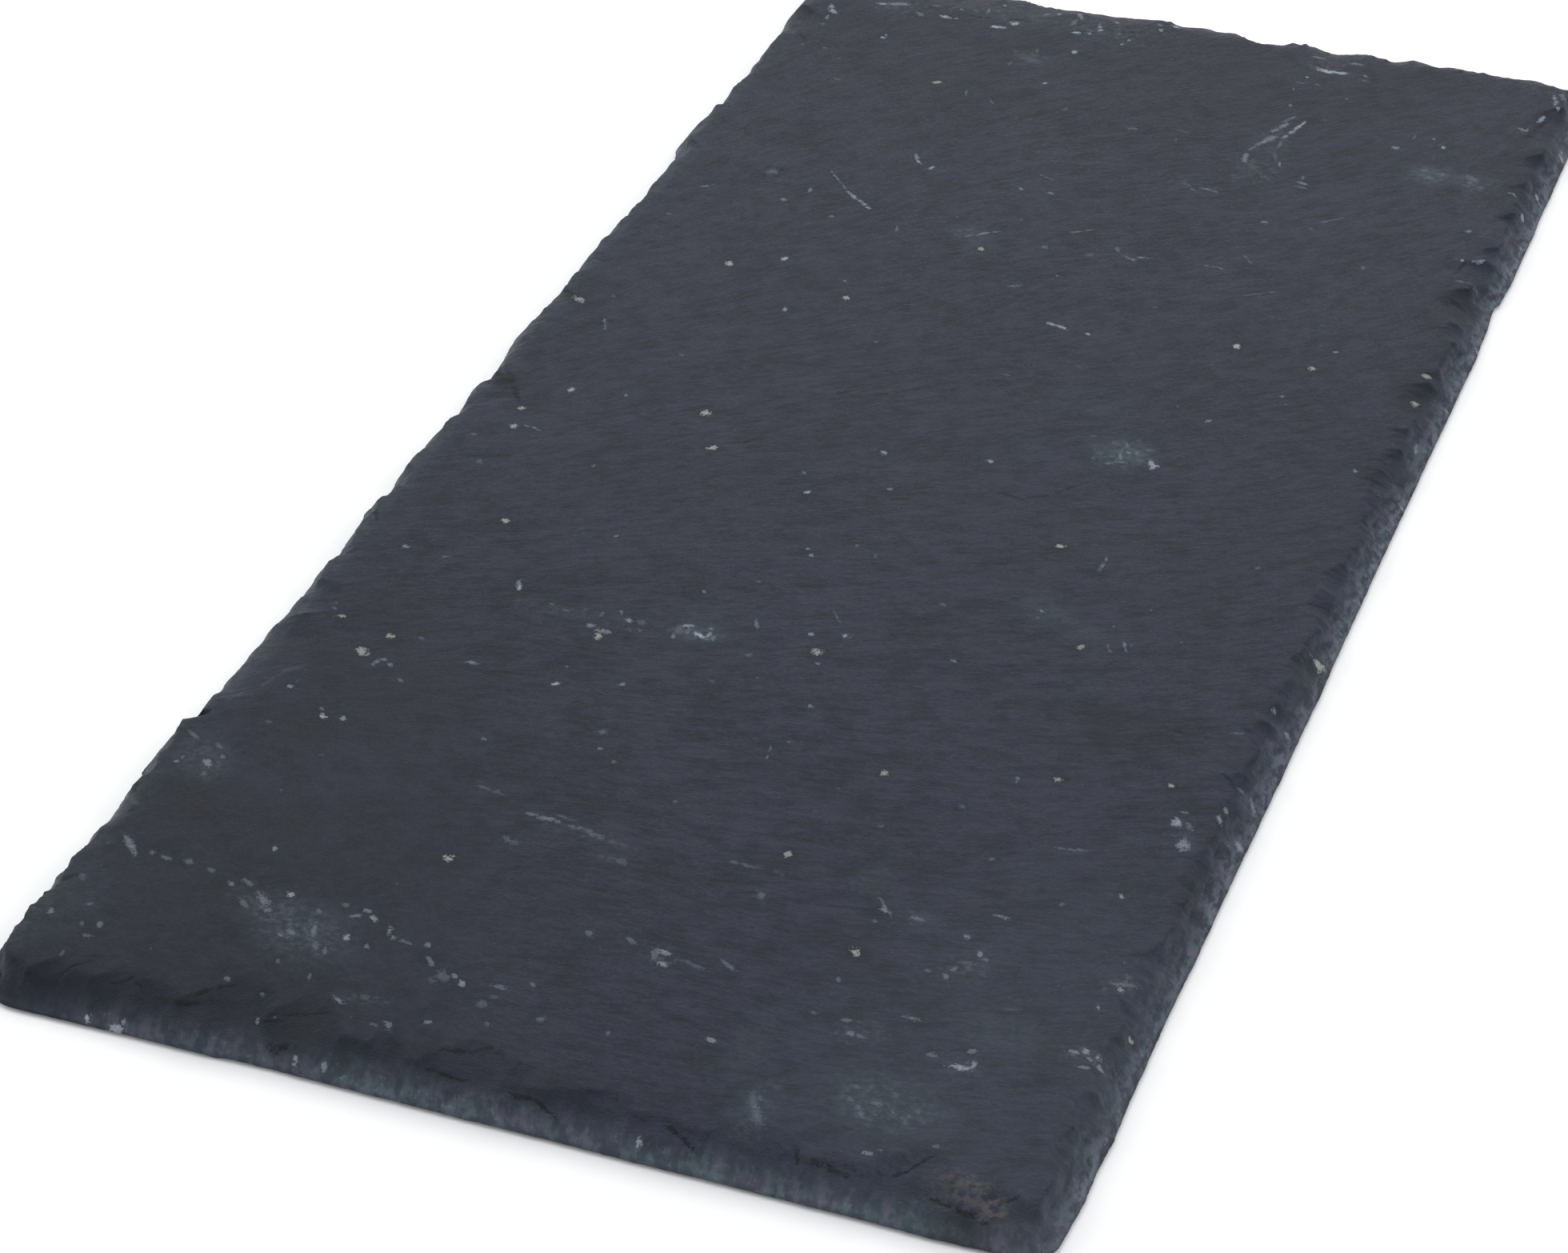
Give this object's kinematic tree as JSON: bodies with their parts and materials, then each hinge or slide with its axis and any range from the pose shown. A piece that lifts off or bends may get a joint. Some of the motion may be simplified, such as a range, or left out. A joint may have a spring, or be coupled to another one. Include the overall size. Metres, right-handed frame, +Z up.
{
  "type": "slate tile",
  "caption": "Rectangular split slate tile with a flat underside, a gently waving cleft top face and spalled, dressed edges.",
  "frame": {"origin": "centre of the bounding box on the underside, the face that the tile rests on", "axes": "+X across the tile, +Y along its long side, +Z up out of the cleft top face"},
  "size_m": [0.203, 0.4509, 0.0066],
  "materials": {
    "slate": "dull natural cleft surface, dark blue-grey, with small pale flecks"
  },
  "bodies": {
    "root": {"slate_tile": "slate"}
  },
  "joints": []
}
